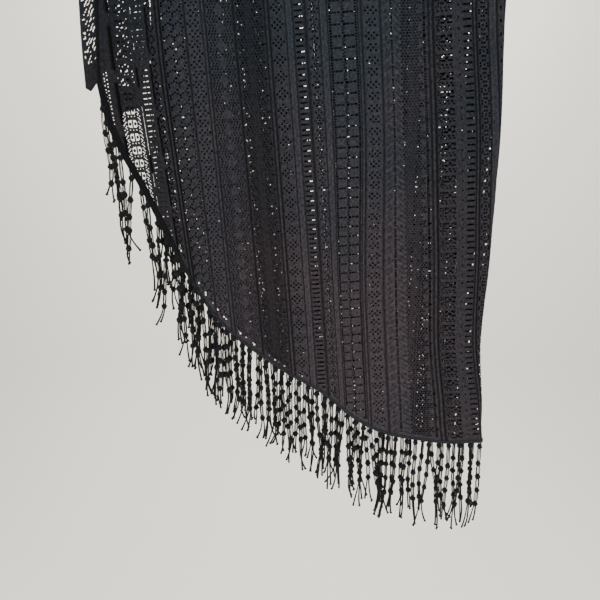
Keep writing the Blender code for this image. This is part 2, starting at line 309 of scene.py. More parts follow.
class SarongSizes(bpy.types.PropertyGroup):
    """Sizes of the stitches, bands and fringe."""

    row_height: FloatProperty(
        name="Row height", description="Height of one row of lace stitches",
        default=0.00153, min=0.0012, max=0.004, unit="LENGTH", precision=5)
    hole_growth: FloatProperty(
        name="Hole growth", description="How far a small hole is pulled open, as a share of a stitch",
        default=0.27, min=-0.3, max=0.35)
    slot_growth: FloatProperty(
        name="Slot growth", description="How far a wide hole is pulled open, as a share of a stitch",
        default=0.12, min=-0.3, max=0.35)
    back_closed: FloatProperty(
        name="Back closed", description="Share of the back half's small holes that are drawn shut",
        default=0.76, min=0.0, max=1.0, subtype="FACTOR")
    back_hole_growth: FloatProperty(
        name="Back hole growth", description="How far a small hole of the back half is pulled open",
        default=-0.20, min=-0.4, max=0.35)
    back_slot_growth: FloatProperty(
        name="Back slot growth", description="How far a wide hole of the back half is pulled open",
        default=-0.14, min=-0.4, max=0.35)
    stitch_play: FloatProperty(
        name="Stitch play", description="Uneven shift of each stitch's corners",
        default=0.00011, min=0.0, max=0.0004, unit="LENGTH", precision=5)
    hem_thick: FloatProperty(
        name="Hem thickness", description="Thickness of the rolled hem band",
        default=0.0026, min=0.001, max=0.004, unit="LENGTH", precision=4)
    edge_width: FloatProperty(
        name="Edge width", description="Width of the binding on the straight edges",
        default=0.0036, min=0.002, max=0.010, unit="LENGTH", precision=4)
    plain_edge: FloatProperty(
        name="Plain edge", description="Width along the hem where the lace has no holes",
        default=0.0062, min=0.0, max=0.02, unit="LENGTH", precision=4)
    hem_width: FloatProperty(
        name="Hem width", description="Width of the rolled band where the hem's curve starts",
        default=0.0082, min=0.002, max=0.012, unit="LENGTH", precision=4)
    hem_low_width: FloatProperty(
        name="Lower hem width", description="Width of the rolled band along the lower hem",
        default=0.0042, min=0.002, max=0.010, unit="LENGTH", precision=4)
    waist_thick: FloatProperty(
        name="Waistband thickness", description="Thickness of the folded waistband",
        default=0.0028, min=0.001, max=0.004, unit="LENGTH", precision=4)
    cord_radius: FloatProperty(
        name="Cord radius", description="Radius of a fringe cord",
        default=0.00064, min=0.0003, max=0.0015, unit="LENGTH", precision=5)
    knot_radius: FloatProperty(
        name="Knot radius", description="Radius of a knot of the fringe",
        default=0.0038, min=0.0015, max=0.005, unit="LENGTH", precision=4)
    strand_step: FloatProperty(
        name="Strand step", description="Distance along the hem from one strand to the next",
        default=0.0124, min=0.006, max=0.03, unit="LENGTH", precision=4)
    seed: IntProperty(name="Seed", description="Seed of the uneven stitches and strands", default=7, min=0)


class SarongColors(bpy.types.PropertyGroup):
    """Colours of the cloth, cords and stage."""

    knit: FloatVectorProperty(
        name="Knit", description="Main colour of the lace", subtype="COLOR", size=3,
        min=0.0, max=1.0, default=(0.0225, 0.0277, 0.0352))
    # The paler warm colour: in soft patches of wear, and low down as a painted warm light
    knit_worn_and_lit: FloatVectorProperty(
        name="Worn knit", description="Colour where the lace has faded", subtype="COLOR", size=3,
        min=0.0, max=1.0, default=(0.0450, 0.0372, 0.0425))
    band: FloatVectorProperty(
        name="Band", description="Colour of the hem band and waistband", subtype="COLOR", size=3,
        min=0.0, max=1.0, default=(0.0180, 0.0195, 0.0230))
    cord: FloatVectorProperty(
        name="Cord", description="Colour of the fringe", subtype="COLOR", size=3,
        min=0.0, max=1.0, default=(0.0085, 0.0088, 0.0100))
    backdrop: FloatVectorProperty(
        name="Backdrop", description="Colour of the floor and wall", subtype="COLOR", size=3,
        min=0.0, max=1.0, default=(0.93, 0.905, 0.83))


def ease(t):
    """Nothing to one with a soft start and a soft end: t squared times three less twice t."""
    t = np.clip(t, 0.0, 1.0)
    return t * t * (3.0 - 2.0 * t)


def soft_step(value, start, reach):
    """Nothing up to the start and one from a reach further on, with a soft step between."""
    return ease((value - start) / reach)


def smooth_curve(points, lead_in, lead_out, steps):
    """A Catmull-Rom curve through the points, with a number of steps from each to the next."""
    p = np.vstack(([lead_in], points, [lead_out]))
    t = np.linspace(0.0, 1.0, steps, endpoint=False)[:, None]
    spans = []
    for a, b, c, d in zip(p, p[1:], p[2:], p[3:]):
        bend = (2 * a - 5 * b + 4 * c - d) * t ** 2 + (3 * b - a - 3 * c + d) * t ** 3
        spans.append(0.5 * (2 * b + (c - a) * t + bend))
    spans.append(p[-2:-1])
    return np.vstack(spans)


def sway(drop):
    """How far the fold's edge stands out at a drop: eased from row to row."""
    drops = np.array([row.drop for row in SWAY])
    outs = np.array([row.out for row in SWAY])
    i = np.clip(np.searchsorted(drops, drop) - 1, 0, len(drops) - 2)
    t = ease((drop - drops[i]) / (drops[i + 1] - drops[i]))
    return outs[i] + (outs[i + 1] - outs[i]) * t


def fold_height(x, drop):
    """Height of the soft folds towards the front: a rounded ridge or trough along each line."""
    grown = ease(drop / FOLD_FULL_DROP)
    total = np.zeros(np.broadcast(x, drop).shape)
    for row in SOFT_FOLDS:
        line = row.x_waist + (row.x_hem - row.x_waist) * drop / HEM_AT_FOLD
        total = total + row.height * grown * np.exp(-((x - line) / row.half_width) ** 2)
    return total


def place(along, drop, out=0.0):
    """A point at a place on the cloth, raised from it by out: flat halves joined by a half-round bend."""
    turn = np.clip(along / FOLD_RADIUS, -pi / 2, pi / 2)
    flat = np.maximum(np.abs(along) - BEND_HALF, 0.0)
    radius = FOLD_RADIUS + out
    x = AXIS_X + radius * np.cos(turn) - flat
    x = x + sway(drop) * np.exp(-(along / SWAY_REACH) ** 2)
    y = radius * np.sin(turn) - fold_height(x, drop)
    return np.stack(np.broadcast_arrays(x, y, -drop), axis=-1)


def hem_half(rows, side, top_x, steps):
    """One half's straight edge and hem curve, from its top to the fold, as along and drop."""
    curve = np.array([(side * (AXIS_X - row.x + BEND_HALF), row.drop) for row in rows])
    top = np.array((side * (AXIS_X - top_x + BEND_HALF), WAIST_DEPTH))
    edge = top + (curve[0] - top) * np.linspace(0.0, 1.0, 22 * steps)[:, None]
    at_fold = np.array((side * BEND_HALF, HEM_AT_FOLD))
    points = np.vstack((curve, at_fold))
    return edge[:-1], smooth_curve(points, edge[-2], 2 * at_fold - points[-2], 4 * steps)


def whole_outline(steps):
    """The free edge from the front's top, round the fold, to the back's top, and its curved slice."""
    front_edge, front_curve = hem_half(FRONT_HEM, -1, FRONT_TOP_X, steps)
    back_edge, back_curve = hem_half(BACK_HEM, 1, BACK_TOP_X, steps)
    bend = np.linspace(-BEND_HALF, BEND_HALF, 2 * steps + 7)[1:-1]
    bend = np.stack((bend, np.full_like(bend, HEM_AT_FOLD)), axis=-1)
    outline = np.vstack((front_edge, front_curve, bend, back_curve[::-1], back_edge[::-1]))
    return outline, slice(len(front_edge), len(outline) - len(back_edge))


def inward_of(outline):
    """Unit directions into the cloth: the outline's run turned by a quarter."""
    run = np.gradient(outline, axis=0)
    run = run / np.linalg.norm(run, axis=1)[:, None]
    return np.stack((run[:, 1], -run[:, 0]), axis=-1)


def is_inside(along, drop, outline):
    """True where a place lies inside the closed outline: an odd number of its sides is crossed."""
    inside = np.zeros(along.shape, bool)
    for (a0, d0), (a1, d1) in zip(outline, np.roll(outline, -1, axis=0)):
        if a0 == a1:
            continue
        crosses = (a0 > along) != (a1 > along)
        inside ^= crosses & (drop < (d1 - d0) * (along - a0) / (a1 - a0) + d0)
    return inside


def make_mesh(name, points, face_sets, uv, material):
    """A mesh object from arrays: points, sets of faces with equal corner counts, and a UV place each."""
    mesh = bpy.data.meshes.new(name)
    corners = np.concatenate([faces.ravel() for faces in face_sets]).astype(np.int32)
    sizes = np.concatenate([np.full(len(faces), faces.shape[1], np.int32) for faces in face_sets])
    starts = np.concatenate(([0], np.cumsum(sizes)[:-1])).astype(np.int32)
    mesh.vertices.add(len(points))
    mesh.vertices.foreach_set("co", points.astype(np.float32).ravel())
    mesh.loops.add(len(corners))
    mesh.loops.foreach_set("vertex_index", corners)
    mesh.polygons.add(len(sizes))
    mesh.polygons.foreach_set("loop_start", starts)
    mesh.update(calc_edges=True)
    mesh.polygons.foreach_set("use_smooth", np.ones(len(sizes), bool))
    layer = mesh.uv_layers.new(name="Stitches")
    layer.data.foreach_set("uv", uv[corners].astype(np.float32).ravel())
    mesh.materials.append(material)
    mesh.update()
    piece = bpy.data.objects.new(name, mesh)
    bpy.context.scene.collection.objects.link(piece)
    return piece


def grid_faces(rows, columns, wrap=False):
    """Four-cornered faces of a grid of points, whose last column may join its first."""
    index = np.arange(rows * columns).reshape(rows, columns)
    if wrap:
        index = np.hstack((index, index[:, :1]))
    corners = index[:-1, :-1], index[1:, :-1], index[1:, 1:], index[:-1, 1:]
    return np.stack(corners, axis=-1).reshape(-1, 4)


def lean_of(along, drop):
    """How far a stripe has moved across at a drop.

    It leans by LEAN inside the cloth. Towards the straight edges it leans less above LEAN_DROP and more
    below it, and the change is the integral of the soft step between the two. Past the fold the lean
    turns evenly from one way to the other. Low on the front the stripes in the middle are drawn together
    by up to DRAWN, between two soft steps across.
    """
    x = AXIS_X + BEND_HALF - np.abs(along)
    near = ease((LEAN_EDGE_X - x) / LEAN_EDGE_REACH)
    low = LEAN + (LEAN_EDGE_LOW - LEAN) * near
    high = LEAN + (LEAN_EDGE_HIGH - LEAN) * near
    u = drop - LEAN_DROP
    t = np.clip((u + LEAN_REACH) / (2 * LEAN_REACH), 0.0, 1.0)
    summed = 2 * LEAN_REACH * (t ** 3 - t ** 4 / 2) + np.maximum(u - LEAN_REACH, 0.0)
    start = 2 * LEAN_REACH * (0.5 ** 3 - 0.5 ** 4 / 2)
    way = 1.0 - 2.0 * np.clip(along / LEAN_TURN, 0.0, 1.0)
    drawn = soft_step(along, *DRAWN_LEFT) * (1.0 - soft_step(along, *DRAWN_RIGHT))
    lean = way * (high * u + (low - high) * (summed - start))
    return lean - DRAWN * drawn * soft_step(drop, *DRAWN_DROP)


def row_drops(count, row_height):
    """Drop of each row before it leans: even rows, a little shorter in the lower half of the cloth."""
    even = np.arange(count) * row_height
    heights = row_height * (1.0 - ROWS_SHRINK * soft_step(even, *ROWS_SHRINK_DROP))
    return np.concatenate(([0.0], np.cumsum(heights)))


def row_lean(across, drop):
    """The drop of a stitch: rows sink away from the fold on both halves, and stretch on the back."""
    drop = drop + ROWS_LEAN * (np.sqrt(across ** 2 + ROWS_BEND ** 2) - ROWS_AT)
    stretch = BACK_STRETCH * ease(across / BACK_STRETCH_REACH)
    return BACK_STRETCH_DROP + (drop - BACK_STRETCH_DROP) * (1.0 + stretch)


def chart_letters(name):
    """A chart as an array of letters, where a row of - is all plain stitches."""
    rows = CHARTS[name].split()
    return np.array([list("." * len(rows[0]) if row == "-" else row) for row in rows])


def stripe_cells(stripes, start, rows):
    """Column edges in metres, and each cell's chart letter, for stripes side by side."""
    edges = [start]
    letters = []
    for stripe in stripes:
        chart = chart_letters(stripe.chart)
        widths = np.array([STITCH_WIDTH.get(letter, 1.0) for letter in chart[0]])
        edges.extend(edges[-1] + np.cumsum(widths) / widths.sum() * stripe.width / 1000.0)
        letters.append(chart[(np.arange(rows) + stripe.shift) % len(chart)])
    return np.array(edges), np.hstack(letters)


def corner_sum(cells):
    """For each corner of the grid, the sum over the four cells that meet there."""
    padded = np.pad(cells, 1)
    return padded[:-1, :-1] + padded[:-1, 1:] + padded[1:, :-1] + padded[1:, 1:]


def corner_pull(letters, small, wide):
    """How far each corner is pulled, across and down, as shares of a stitch.

    A hole pulls its corners outwards by its own strength.
    """
    pull = np.zeros(letters.shape)
    pull[letters == "o"] = small
    pull[letters == "O"] = wide
    pull[letters == "h"] = SMALL_PULL
    padded = np.pad(pull, 1)
    across = padded[:-1, :-1] + padded[1:, :-1] - padded[:-1, 1:] - padded[1:, 1:]
    down = padded[:-1, :-1] + padded[:-1, 1:] - padded[1:, :-1] - padded[1:, 1:]
    most = max(abs(small), abs(wide), 0.05)
    return np.clip(across, -most, most), np.clip(down, -most, most)


def corner_mean(letters, table):
    """For each corner of the grid, the mean of its cells' values in a table of chart letters."""
    values = np.zeros(letters.shape)
    for letter, value in table.items():
        values[letters == letter] = value
    return corner_sum(values) / corner_sum(np.ones(letters.shape))


def stitch_relief(letters, generator):
    """Height of each corner: the mean of its cells' heights, and a little unevenness."""
    heights = corner_mean(letters, STITCH_HEIGHT)
    return (heights + generator.normal(0.0, 0.05, heights.shape)) / 1000.0


def set_shade(piece, shade):
    """Keep each corner's painted shade for the yarn's colour: 0 on plain stitches, about 1 in grooves, and
    below 0 where a painted highlight pales it.
    """
    layer = piece.data.attributes.new("Sunk", "FLOAT", "POINT")
    layer.data.foreach_set("value", shade.astype(np.float32))


def knit_piece(name, points, uv, keep, shade, material):
    """A piece out of a grid of corners, with one face for each stitch that is kept."""
    corners = grid_faces(keep.shape[0] + 1, keep.shape[1] + 1)[keep.ravel()]
    used, corners = np.unique(corners, return_inverse=True)
    faces = [corners.reshape(-1, 4)]
    piece = make_mesh(name, points.reshape(-1, 3)[used], faces, uv.reshape(-1, 2)[used], material)
    set_shade(piece, shade.ravel()[used])
    return piece


def shut_holes(letters, closed, generator):
    """The back half's letters with most small holes drawn shut, and the wide ones mostly low down. Each
    shut hole's painted shade then makes it near black, like a shadowed open hole.
    """
    chance = generator.random(letters.shape)
    low = soft_step(np.arange(len(letters)), *SLOTS_SHUT_ROW)[:, None]
    slots_shut = SLOTS_SHUT_HIGH + SLOTS_SHUT_MORE * low
    shut = ((letters == "o") | (letters == "h")) & (chance < closed)
    return np.where(shut | ((letters == "O") & (chance < slots_shut)), "f", letters)


def make_lace(name, stripes, start, sizes, outline, material, seed):
    """One part of the lace: a grid of stitches in slanted stripes, with a cell left out at each hole.

    Column edges lean with the stripes and rows stand square to them. A cell stays where its middle is
    inside the outline, and a strip along the outline has no holes. Each corner is pulled away from the
    holes beside it, so that they open round.
    """
    generator = np.random.default_rng(seed)
    rows = int((HEM_AT_FOLD + 0.10) / sizes.row_height)
    edges, letters = stripe_cells(stripes, start, rows)
    across, row = np.meshgrid(edges, np.arange(rows + 1.0))
    small, wide = sizes.hole_growth, sizes.slot_growth
    if start > 0.0:
        letters = shut_holes(letters, sizes.back_closed, generator)
        small, wide = sizes.back_hole_growth, sizes.back_slot_growth
    pull_across, pull_down = corner_pull(letters, small, wide)
    across = across + pull_across * np.gradient(edges)[None, :]
    across = across + generator.normal(0.0, sizes.stitch_play, across.shape)
    drop = row_lean(across, row_drops(rows, sizes.row_height)[:, None])
    drop = drop + pull_down * sizes.row_height + generator.normal(0.0, sizes.stitch_play, drop.shape)
    along = across + lean_of(across, drop)
    middle = (along[:-1, :-1] + along[1:, 1:]) / 2, (drop[:-1, :-1] + drop[1:, 1:]) / 2
    inside = is_inside(*middle, outline)
    well_inside = is_inside(*middle, outline + inward_of(outline) * sizes.plain_edge)
    keep = inside & (~np.isin(letters, list("oOh")) | ~well_inside)
    points = place(along, drop, stitch_relief(letters, generator))
    # Painted shade on each corner: its stitches' own, and across the cloth in the soft folds' troughs and
    # towards its edges
    shade = corner_mean(letters, STITCH_SHADE) + np.interp(across, *np.array(SHADES).T)
    return knit_piece(name, points, np.stack((across / STITCH, row), axis=-1), keep, shade, material)


def rounded_profile(count, width, thick, square):
    """A closed outline round a flat strip: a circle squared off by a power, as inward and out shares."""
    turn = np.linspace(0.0, 2 * pi, count, endpoint=False)
    c, s = np.cos(turn), np.sin(turn)
    return np.sign(c) * np.abs(c) ** square * width / 2, np.sign(s) * np.abs(s) ** square * thick / 2


def capped(rows, columns):
    """Faces of a closed tube of rings: its sides and one many-cornered cap at each end."""
    index = np.arange(rows * columns).reshape(rows, columns)
    return [grid_faces(rows, columns, wrap=True), index[:1], index[-1:, ::-1]]


def make_hem_band(sizes, material):
    """The rolled band along the whole free edge: a flat rounded profile carried along the outline.

    It is narrow on the straight edges, widens to the hem's width where the curve starts, and is rolled
    narrow again along the lower hem.
    """
    outline, curved = whole_outline(6)
    generator = np.random.default_rng(sizes.seed + 11)
    inward = inward_of(outline)
    step = np.arange(len(outline))
    grown = ease((step - curved.start + 4) / 8.0) * ease((curved.stop + 4 - step) / 8.0)
    low = soft_step(outline[:, 1], *HEM_NARROW_DROP)
    wide = sizes.hem_width + (sizes.hem_low_width - sizes.hem_width) * low
    width = sizes.edge_width + (wide - sizes.edge_width) * grown
    width = width * (1.0 + 0.04 * np.sin(step * 0.37) + generator.normal(0.0, 0.012, len(step)))
    around = 16
    w, h = rounded_profile(around, 1.0, sizes.hem_thick, 0.62)
    inset = (w[None, :] + 0.5) * width[:, None]
    cloth = outline[:, None, :] + inward[:, None, :] * inset[..., None]
    lift = h[None, :] * (1.0 + generator.normal(0.0, 0.03, len(step)))[:, None]
    points = place(cloth[..., 0], cloth[..., 1], lift)
    length = np.concatenate(([0.0], np.cumsum(np.linalg.norm(np.diff(points[:, 0], axis=0), axis=1))))
    uv = np.stack(np.broadcast_arrays(inset / HEM_STITCH[0], length[:, None] / HEM_STITCH[1]), axis=-1)
    faces = capped(len(outline), around)
    piece = make_mesh("hem_binding", points.reshape(-1, 3), faces, uv.reshape(-1, 2), material)
    # Painted shade on the hem band high up, fading out lower down
    upper_painted_shade = HEM_SHADE * (1.0 - soft_step(outline[:, 1], *HEM_SHADE_DROP))
    set_shade(piece, np.repeat(upper_painted_shade, around))
    return piece


def make_waistband(sizes, material):
    """The folded band along the top: a flat rounded profile with upright ribs, carried across the cloth."""
    rings, around, beyond = 1150, 26, 0.0006
    start = -(AXIS_X - FRONT_TOP_X + BEND_HALF) - beyond
    stop = AXIS_X - BACK_TOP_X + BEND_HALF + beyond
    along = np.linspace(start, stop, rings)[:, None]
    w, h = rounded_profile(around, WAIST_DEPTH, sizes.waist_thick, 0.42)
    drop = (WAIST_DEPTH / 2 + w)[None, :]
    face = np.clip(np.abs(h) / sizes.waist_thick * 2, 0, 1)
    ribs = WAIST_RIB_HEIGHT * np.cos(2 * pi * along / WAIST_RIB) * face
    seam = WAIST_SEAM_DEPTH * np.exp(-((drop - WAIST_DEPTH + WAIST_SEAM) / 0.0007) ** 2)
    out = np.sign(h) * (np.abs(h) + ribs - seam)
    points = place(along, drop, out)
    uv = np.stack(np.broadcast_arrays(along / WAIST_STITCH[0], drop / WAIST_STITCH[1]), axis=-1)
    faces = capped(rings, around)
    return make_mesh("waistband_knit", points.reshape(-1, 3), faces, uv.reshape(-1, 2), material)


def make_tie(name, row, sizes, material):
    """A lace strip: a grid of stitches with holes, whose lower end is cut on a slant.

    Its middle moves from its top to its end with a soft start and end, each column ends higher by the
    cut's rise there, and it lies behind the waistband until it is past its sewing.
    """
    generator = np.random.default_rng(sizes.seed + row.seed)
    chart = chart_letters("tie")
    columns = chart.shape[1]
    rows = int((row.end_drop - TIE_TOP) / sizes.row_height)
    letters = chart[np.arange(rows) % len(chart)]
    letters = np.where((generator.random(letters.shape) < TIE_CLOSED) & (letters == "o"), ".", letters)
    letters[rows - int(TIE_PLAIN_END / sizes.row_height):] = "."
    letters[:int(TIE_SEWN / sizes.row_height)] = "."
    pull_across, pull_down = corner_pull(letters, TIE_PULL, TIE_PULL)
    column, row_number = np.meshgrid(np.arange(columns + 1.0), np.arange(rows + 1.0))
    across = np.linspace(-0.5, 0.5, columns + 1)[None, :] + pull_across / columns
    down = np.linspace(0.0, 1.0, rows + 1)[:, None] + pull_down / rows
    cuts = np.array(TIE_CUTS[name])
    rise = np.interp(across, cuts[:, 0], cuts[:, 1])
    drop = TIE_TOP + (row.end_drop - rise - TIE_TOP) * down
    width = row.width * (1.0 + 0.02 * np.sin(down * 23.0))
    x = row.top_x + (row.end_x - row.top_x) * ease(down / TIE_STRAIGHT_FROM) + across * width
    loose = soft_step(drop, TIE_SEWN, TIE_SEWN)
    depth = row.depth_at_top + (row.depth_below - row.depth_at_top) * loose
    roll = TIE_ROLL * np.clip((np.abs(across) - 0.42) / 0.08, 0.0, 1.0) ** 2 * loose
    y = depth + roll - stitch_relief(letters, generator) - fold_height(x, drop) * 0.5
    points = np.stack((x, y, -drop), axis=-1)
    # Painted shade over the whole tie, added to its stitches' painted shade and highlight
    shade = TIE_SHADE + corner_mean(letters, STITCH_SHADE)
    uv = np.stack((column, row_number), axis=-1)
    piece = knit_piece(name + "_knit", points, uv, letters != "o", shade, material)
    area = row.width * (row.end_drop - TIE_TOP - float(np.mean(rise)))
    return piece, (row.width, row.end_drop - TIE_TOP), area


def tube_points(paths, radius, sides):
    """Rings round paths, an array of paths by points by 3: a circle square to the path's run."""
    run = np.gradient(paths, axis=1)
    run = run / np.linalg.norm(run, axis=-1)[..., None]
    side = np.cross(run, np.array((0.0, 1.0, 0.0)))
    side = side / np.linalg.norm(side, axis=-1)[..., None]
    other = np.cross(side, run)
    turn = np.linspace(0.0, 2 * pi, sides, endpoint=False)
    ring = np.cos(turn)[:, None] * side[:, :, None] + np.sin(turn)[:, None] * other[:, :, None]
    return paths[:, :, None] + ring * radius[:, :, None, None]


def ring_faces(points):
    """Faces of rings of points, strand by strand: four-cornered sides and a cap at each end."""
    index = np.arange(points[..., 0].size).reshape(points.shape[:-1])
    turned = np.roll(index, -1, axis=2)
    quads = np.stack((index[:, :-1], turned[:, :-1], turned[:, 1:], index[:, 1:]), axis=-1)
    return [quads.reshape(-1, 4), np.concatenate((index[:, 0, ::-1], index[:, -1]))]


def tubes(paths, radius, sides=4):
    """Points, faces and UV places of capped tubes round paths."""
    points = tube_points(paths, radius, sides)
    length = np.cumsum(np.linalg.norm(np.diff(paths, axis=1, prepend=paths[:, :1]), axis=-1), axis=1)
    uv = np.stack(np.broadcast_arrays(np.arange(sides) / sides, length[..., None] / CORD_TWIST), axis=-1)
    return points.reshape(-1, 3), ring_faces(points), uv.reshape(-1, 2)


def knot_balls(centres, radius, turns, lengths, widths, around=8, high=6):
    """Knots: balls with a winding groove, their radius the ball's less a cosine of turn and height."""
    lon = np.linspace(0.0, 2 * pi, around, endpoint=False)[None, None, :]
    lat = np.linspace(-0.46 * pi, 0.46 * pi, high)[None, :, None]
    turns, lengths, widths = (values[:, None, None] for values in (turns, lengths, widths))
    swell = 1.0 + 0.10 * np.cos(2 * lon + 3.4 * lat + turns)
    x = swell * np.cos(lat) * np.cos(lon) * radius * widths
    y = swell * np.cos(lat) * np.sin(lon) * radius * widths
    z = swell * np.sin(lat) * radius * lengths
    points = np.stack((x, y, z), axis=-1) + centres[:, None, None, :]
    uv = np.stack(np.broadcast_arrays(lon / (2 * pi) * 4, lat * 3 + turns), axis=-1)
    return points.reshape(-1, 3), ring_faces(points), uv.reshape(-1, 2)


def joined(parts):
    """One set of points, faces and UV places out of several, with faces sorted by corner count."""
    points, uv, faces, start = [], [], {}, 0
    for part_points, part_faces, part_uv in parts:
        points.append(part_points)
        uv.append(part_uv)
        for face_set in part_faces:
            faces.setdefault(face_set.shape[1], []).append(face_set + start)
        start += len(part_points)
    return np.concatenate(points), [np.concatenate(sets) for sets in faces.values()], np.concatenate(uv)


def strand_tops(row, sizes, generator):
    """Where strands leave the hem, how high it is there, and how far each is gathered to its neighbours.

    The hem's length is counted by a share that falls where it is steep, so strands stand further apart.
    """
    outline, curved = whole_outline(6)
    hem = (outline + inward_of(outline) * STRAND_INSET)[curved]
    hem = hem[hem[:, 0] * row.side > 0.001]
    dense = 1.0 - FEWER_STEEP * ease((STEEP_DROP - (hem[1:, 1] + hem[:-1, 1]) / 2) / STEEP_REACH)
    length = np.concatenate(([0.0], np.cumsum(dense * np.linalg.norm(np.diff(hem, axis=0), axis=1))))
    count = int(length[-1] / sizes.strand_step)
    spots = (np.arange(count) + row.first) * length[-1] / count
    spots = spots + generator.normal(0.0, 0.0013, count)
    drop = np.interp(spots, length, hem[:, 1])
    top = place(np.interp(spots, length, hem[:, 0]), drop)
    high = ease((HIGH_DROP - drop) / STEEP_REACH)
    clump = np.round(np.cumsum(1.0 / (2.3 + 1.6 * high)) + 0.25 * generator.normal(size=count))
    centre = np.array([top[clump == c, 0].mean() for c in clump])
    gather = generator.uniform(0.0, 0.45, count) * (1.0 - high) + 0.95 * high
    return top, high, (centre - top[:, 0]) * gather + generator.normal(0.0, 0.0040, count)


def make_fringe(name, row, sizes, material):
    """Knotted strands: four cords from the hem, drawn together by knots, with loose ends.

    A strand hangs straight down from its place on the hem curve and leans by a soft share of its length.
    Its cords stand apart by a sine between knots, which falls to about half at each knot. Along a
    strand, places are set from knot to knot.
    """
    generator = np.random.default_rng(sizes.seed + row.seed)
    top, high, lean = strand_tops(row, sizes, generator)
    count = len(top)
    depth = generator.uniform(-0.0022, 0.0022, count)
    reach = generator.uniform(0.106, 0.126, count) + 0.010 * (generator.random(count) < 0.15)
    knot_at = KNOT_START + KNOT_STEP * np.arange(KNOTS)[None, :]
    knot_at = knot_at + generator.normal(0.0, 0.0014, (count, KNOTS))
    knot_at += generator.uniform(-0.0020, 0.0085, count)[:, None]
    knot_at[:, 0] = FIRST_KNOT + generator.normal(0.0, 0.0007, count)
    knot_at += (0.006 * high * generator.uniform(0.2, 1.0, count))[:, None]
    stations = np.concatenate((np.zeros((count, 1)), knot_at, reach[:, None]), axis=1)
    shares = [np.linspace(k, k + 1, n, endpoint=False) for k, n in enumerate(PLACES)]
    station = np.concatenate(shares + [[KNOTS + 1.0]])
    low = np.minimum(station.astype(int), KNOTS)
    part = (station - low)[None, :]
    hang = stations[:, low] * (1 - part) + stations[:, low + 1] * part
    t = hang / reach[:, None]
    phase = generator.uniform(0, 6, (2, count, 1))
    sway_x = lean[:, None] * ease(t) + 0.0018 * np.sin(t * 8.0 + phase[0]) * t
    sway_y = depth[:, None] * ease(t * 2.0) + 0.0010 * np.sin(t * 7.0 + phase[1]) * t
    middle = np.stack((top[:, :1] + sway_x, top[:, 1:2] + sway_y, top[:, 2:] - hang), axis=-1)
    between = np.sin(np.clip(station - 1.0, 0.0, KNOTS - 1.0) % 1.0 * pi)[None, :]
    wide = generator.uniform(0.0012, 0.0025, count)[:, None]
    first = np.clip(1.0 - station, 0.0, 1.0)[None, :]
    last = np.clip(station - KNOTS, 0.0, 1.0)[None, :]
    loose = generator.uniform(0.0004, 0.0030, count)[:, None] * last
    apart = wide * (0.55 + 0.45 * between) * (1.0 - last) + 0.0012 * first + 0.0008 * last
    bends = generator.normal(0.0, 0.0042, (2, count, 1))
    lifts = generator.uniform(-0.003, 0.006, (2, count, 1))
    cords = []
    for number, sign in enumerate(CORDS):
        beside = sign + (np.sign(sign) - sign) * 0.8 * last
        cord = middle.copy()
        cord[..., 0] += beside * apart + np.sign(sign) * loose + bends[number // 2] * last ** 2
        cord[..., 1] += 0.0005 * np.cos(number * 2.1 + hang * 90.0)
        cord[..., 2] += lifts[number // 2] * last
        cords.append(cord)
    radius = np.full((len(CORDS) * count, len(station)), sizes.cord_radius)
    radius[count:3 * count] *= INNER_CORDS
    parts = [tubes(np.concatenate(cords), radius * (1.0 + END_GROWTH * last))]
    knots_at = middle[:, np.searchsorted(station, np.arange(1, KNOTS + 1))].reshape(-1, 3)
    number = len(knots_at)
    parts.append(knot_balls(
        knots_at, sizes.knot_radius, generator.uniform(0, 6, number),
        generator.uniform(0.90, 1.15, number), generator.uniform(0.88, 1.06, number)))
    ends = np.concatenate((cords[0][:, -1], cords[3][:, -1]))
    bar = np.stack([ends + np.array((s * END_BAR, 0.0, 0.0004 * s)) for s in (-1.0, 0.0, 1.0)], axis=1)
    bar[:, :, 2] += generator.normal(0.0, 0.0008, (len(ends), 1)) * np.array((-1.0, 0.0, 1.0))
    parts.append(tubes(bar, np.full(bar.shape[:2], END_BAR_RADIUS)))
    points, faces, uv = joined(parts)
    return make_mesh(name, points, faces, uv, material)


def add_node(tree, kind, place_at, **values):
    """A shader node with its settings."""
    node = tree.nodes.new(kind)
    node.location = place_at
    for key, value in values.items():
        setattr(node, key, value)
    return node


def fill(tree, node, values):
    """Give a node's inputs their values in order, sockets by a link, and return its first output."""
    for socket, value in zip(node.inputs, values):
        if isinstance(value, bpy.types.NodeSocket):
            tree.links.new(value, socket)
        else:
            socket.default_value = value
    return node.outputs[0]


def math_node(tree, operation, place_at, *values):
    """A Math node, whose inputs are sockets or numbers."""
    return fill(tree, add_node(tree, "ShaderNodeMath", place_at, operation=operation), values)


def range_node(tree, place_at, value, *limits):
    """A value carried from between the first two limits to between the last two."""
    return fill(tree, add_node(tree, "ShaderNodeMapRange", place_at), (value, *limits))


def noise_node(tree, place_at, vector, scale, detail):
    """Soft noise at a place."""
    noise = add_node(tree, "ShaderNodeTexNoise", place_at)
    noise.inputs["Scale"].default_value = scale
    noise.inputs["Detail"].default_value = detail
    tree.links.new(vector, noise.inputs["Vector"])
    return noise.outputs[0]


def ramp_node(tree, place_at, value, first, second, start=0.0, stop=1.0):
    """A colour between two colours, by a value from start to stop."""
    ramp = add_node(tree, "ShaderNodeValToRGB", place_at)
    for element, color, position in zip(ramp.color_ramp.elements, (first, second), (start, stop)):
        element.color = (*color, 1.0)
        element.position = position
    tree.links.new(value, ramp.inputs[0])
    return ramp.outputs[0]


def multiply_node(tree, place_at, first, second, share=1.0):
    """A colour multiplied by another, by a share."""
    node = add_node(tree, "ShaderNodeMix", place_at, data_type="RGBA", blend_type="MULTIPLY")
    node.inputs[0].default_value = share
    tree.links.new(first, node.inputs[6])
    tree.links.new(second, node.inputs[7])
    return node.outputs[2]


